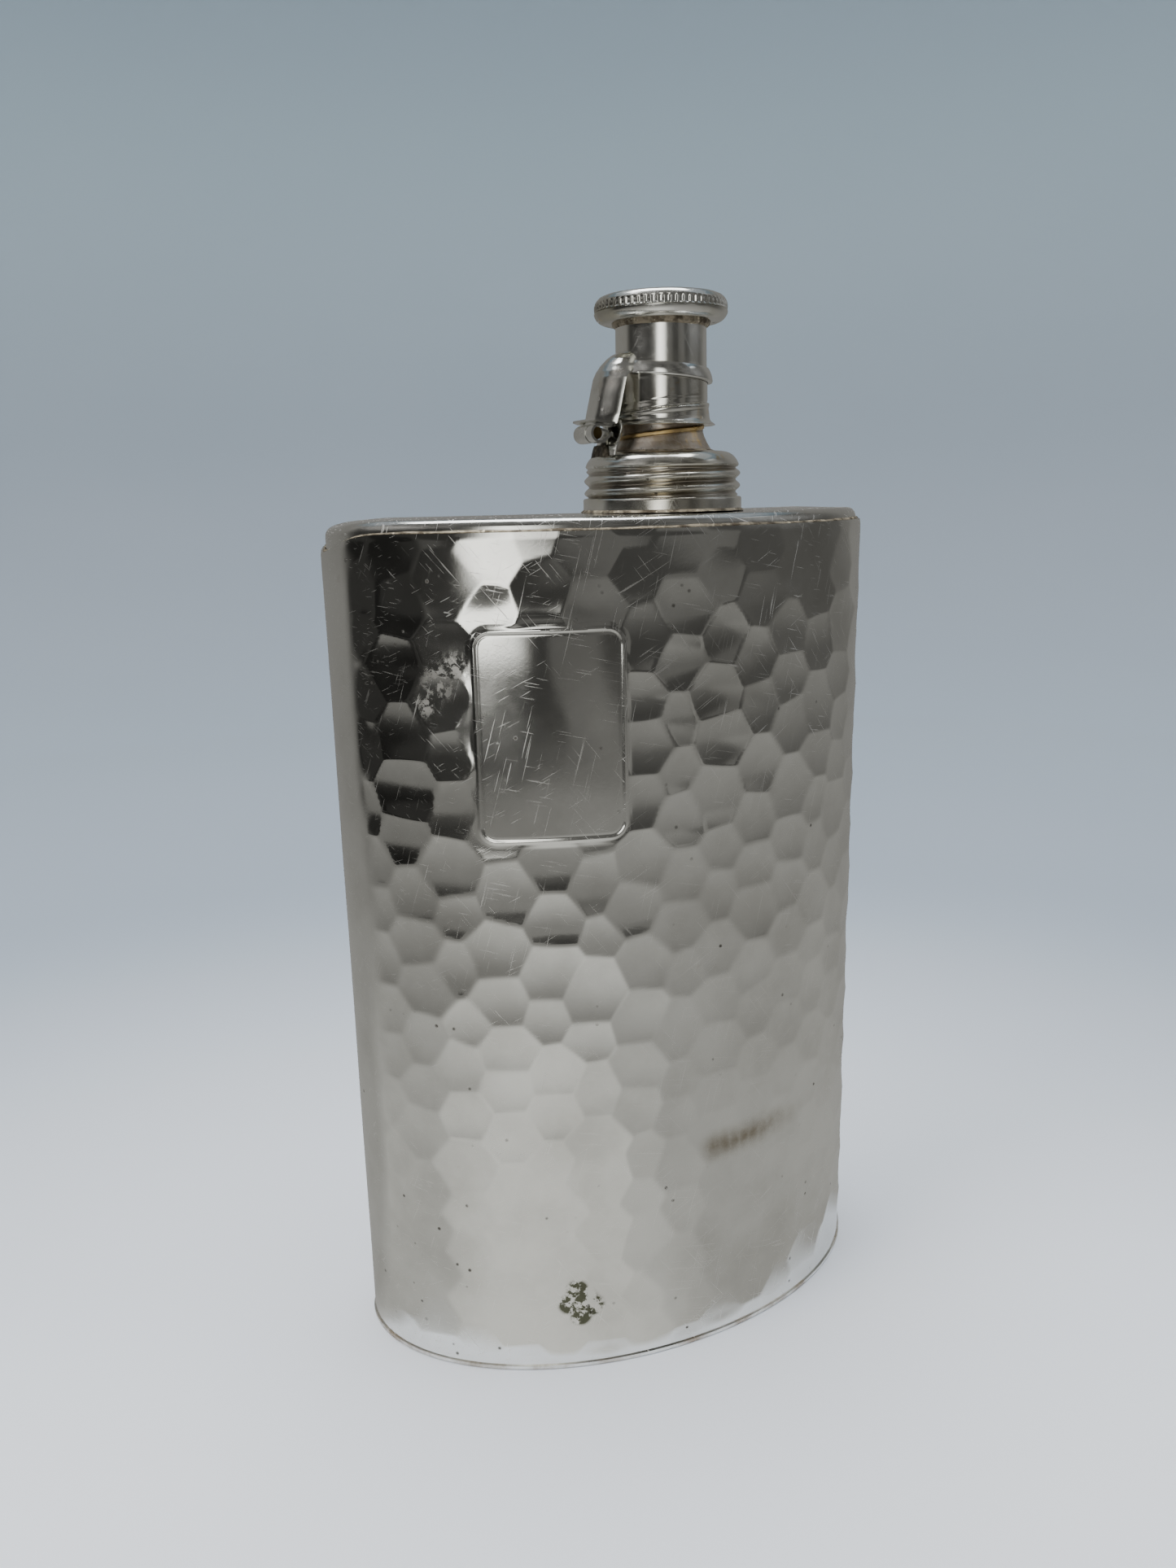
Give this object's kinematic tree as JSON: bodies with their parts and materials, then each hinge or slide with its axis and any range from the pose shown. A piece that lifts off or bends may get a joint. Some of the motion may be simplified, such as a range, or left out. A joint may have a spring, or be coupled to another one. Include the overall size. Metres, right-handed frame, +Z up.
{
  "type": "hip flask",
  "caption": "Curved hammered-metal hip flask with a threaded collar, a pouring neck and a captive screw cap on a hinged arm.",
  "frame": {"origin": "on the floor under the flask, at the middle of the base's width and depth", "axes": "+Z up through the neck, +X to the flask's right seen from its convex front, +Y towards its hollow back"},
  "size_m": [0.097, 0.0404, 0.1773],
  "materials": {
    "plated_brass": "worn silver plate over brass, hammered or spun, scratched and tarnished",
    "bare_brass": "brass where the plating has worn through",
    "solder": "dull grey-brown soft solder with grime",
    "cork": "cork, dark and matt"
  },
  "bodies": {
    "flask": {"body_wall": "plated_brass", "base_plate": "plated_brass", "base_seam": "solder", "top_plate": "plated_brass", "top_seam": "solder", "collar": "plated_brass", "collar_solder": "solder", "pour_neck": "plated_brass", "neck_solder": "solder", "hinge_bracket": "plated_brass", "bracket_solder": "solder", "hinge_pin": "bare_brass"},
    "arm": {"cap_arm": "plated_brass"},
    "seal": {"cork_seal": "cork"},
    "cap": {"cap_tube": "plated_brass", "knob_underside": "plated_brass", "knob_solder": "solder", "knob_top": "plated_brass", "seal_plate": "bare_brass"}
  },
  "joints": [
    {"name": "arm_hinge", "type": "hinge", "parent": "flask", "child": "arm", "pos_m": [-0.0079, -0.00415, 0.1562], "axis": [0, -1, 0], "range_deg": [0, 115]},
    {"name": "cap_lift", "type": "slide", "parent": "arm", "child": "seal", "axis": [0, 0, 1], "range_m": [-0.003, 0]},
    {"name": "cap_screw", "type": "hinge", "parent": "seal", "child": "cap", "pos_m": [0.0044, -0.00415, 0.165], "axis": [0, 0, 1], "range_deg": [-270, 0]}
  ],
  "couplings": [
    {"joint": "cap_lift", "follows": "cap_screw", "m_per_rad": 0.00063662}
  ]
}
